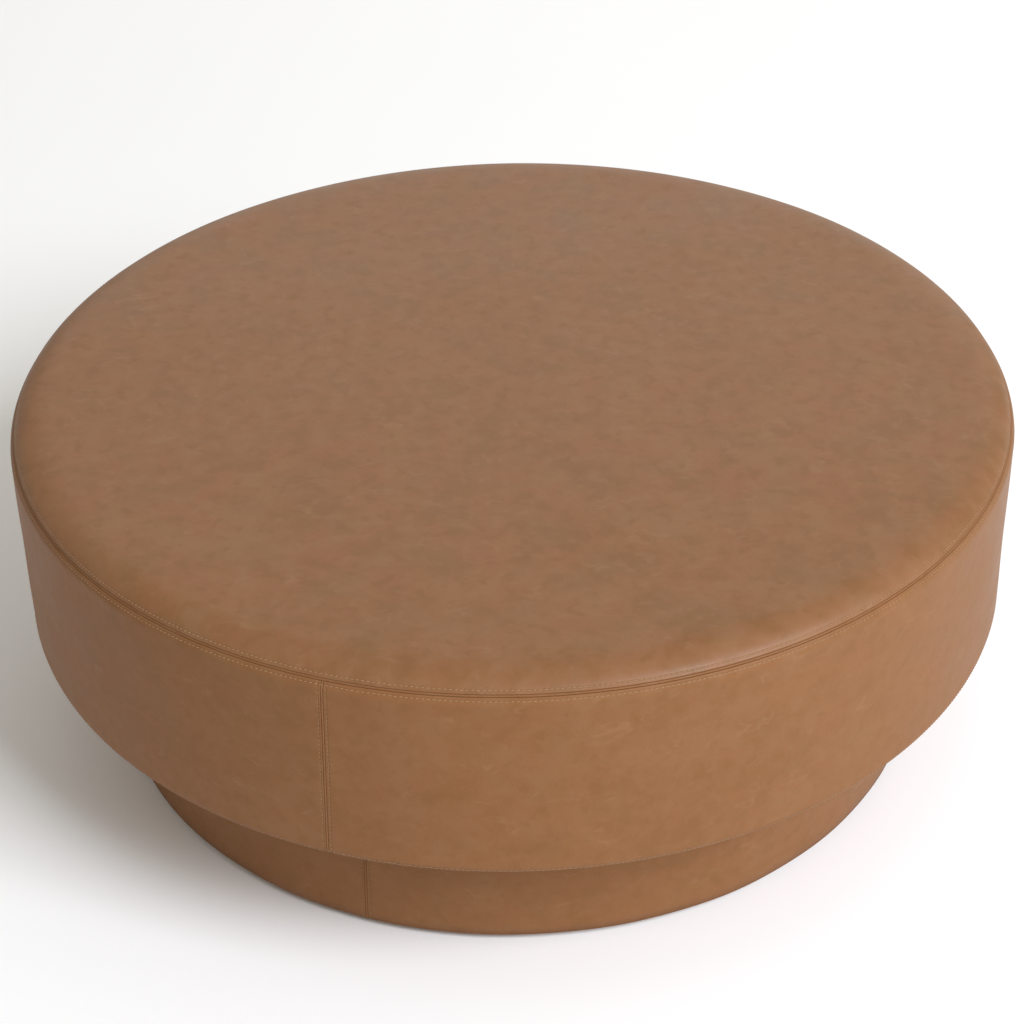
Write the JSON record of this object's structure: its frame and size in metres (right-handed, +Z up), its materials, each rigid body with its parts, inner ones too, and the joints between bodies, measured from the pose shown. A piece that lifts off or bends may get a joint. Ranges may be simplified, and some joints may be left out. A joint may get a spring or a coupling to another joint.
{
  "type": "round leather ottoman",
  "caption": "Round leather ottoman: a wide, padded drum with stitched panels and a double-stitched top seam, on a recessed leather-covered plinth.",
  "frame": {"origin": "middle of the footprint on the floor, under the nylon glides", "axes": "+Z up, -Y the front; the first upright seam of the band and of the plinth stands 20 degrees left of the front"},
  "size_m": [1.22, 1.22, 0.457],
  "materials": {
    "tan_leather": "tan pull-up leather, waxed and distressed, satin, streaked with darker and lighter marks",
    "foam": "open-cell polyurethane foam, matt",
    "polyester_fibre": "white polyester fibre wadding",
    "plywood": "birch plywood, sanded, unfinished",
    "softwood": "planed softwood, unfinished",
    "bendable_plywood": "bendable plywood, unfinished",
    "cambric": "black non-woven dust cover cloth, matt",
    "nylon": "dark brown moulded nylon",
    "zinc_steel": "bright zinc plated steel",
    "thread": "bonded beige upholstery thread, slightly waxed"
  },
  "bodies": {
    "root": {"top_panel": "tan_leather", "band_panel_1": "tan_leather", "band_panel_2": "tan_leather", "band_panel_3": "tan_leather", "underside_ring": "tan_leather", "plinth_panel_1": "tan_leather", "plinth_panel_2": "tan_leather", "plinth_panel_3": "tan_leather", "seat_foam": "foam", "side_foam_left": "foam", "side_foam_right": "foam", "fibre_wrap": "polyester_fibre", "plinth_wadding_left": "polyester_fibre", "plinth_wadding_right": "polyester_fibre", "base_board": "plywood", "long_rib": "plywood", "cross_rib": "plywood", "top_deck": "plywood", "plinth_lower_ring": "plywood", "plinth_upper_ring": "plywood", "drum_post_1": "softwood", "drum_post_2": "softwood", "drum_post_3": "softwood", "drum_post_4": "softwood", "plinth_post_1": "softwood", "plinth_post_2": "softwood", "plinth_post_3": "softwood", "plinth_post_4": "softwood", "plinth_post_5": "softwood", "plinth_post_6": "softwood", "drum_skin_front": "bendable_plywood", "drum_skin_back": "bendable_plywood", "plinth_skin_front": "bendable_plywood", "plinth_skin_back": "bendable_plywood", "dust_cover": "cambric", "glide_1": "nylon", "glide_2": "nylon", "glide_3": "nylon", "glide_4": "nylon", "glide_5": "nylon", "glide_6": "nylon", "bolt_1": "zinc_steel", "washer_1": "zinc_steel", "t_nut_1": "zinc_steel", "bolt_2": "zinc_steel", "washer_2": "zinc_steel", "t_nut_2": "zinc_steel", "bolt_3": "zinc_steel", "washer_3": "zinc_steel", "t_nut_3": "zinc_steel", "bolt_4": "zinc_steel", "washer_4": "zinc_steel", "t_nut_4": "zinc_steel"}
  },
  "joints": []
}
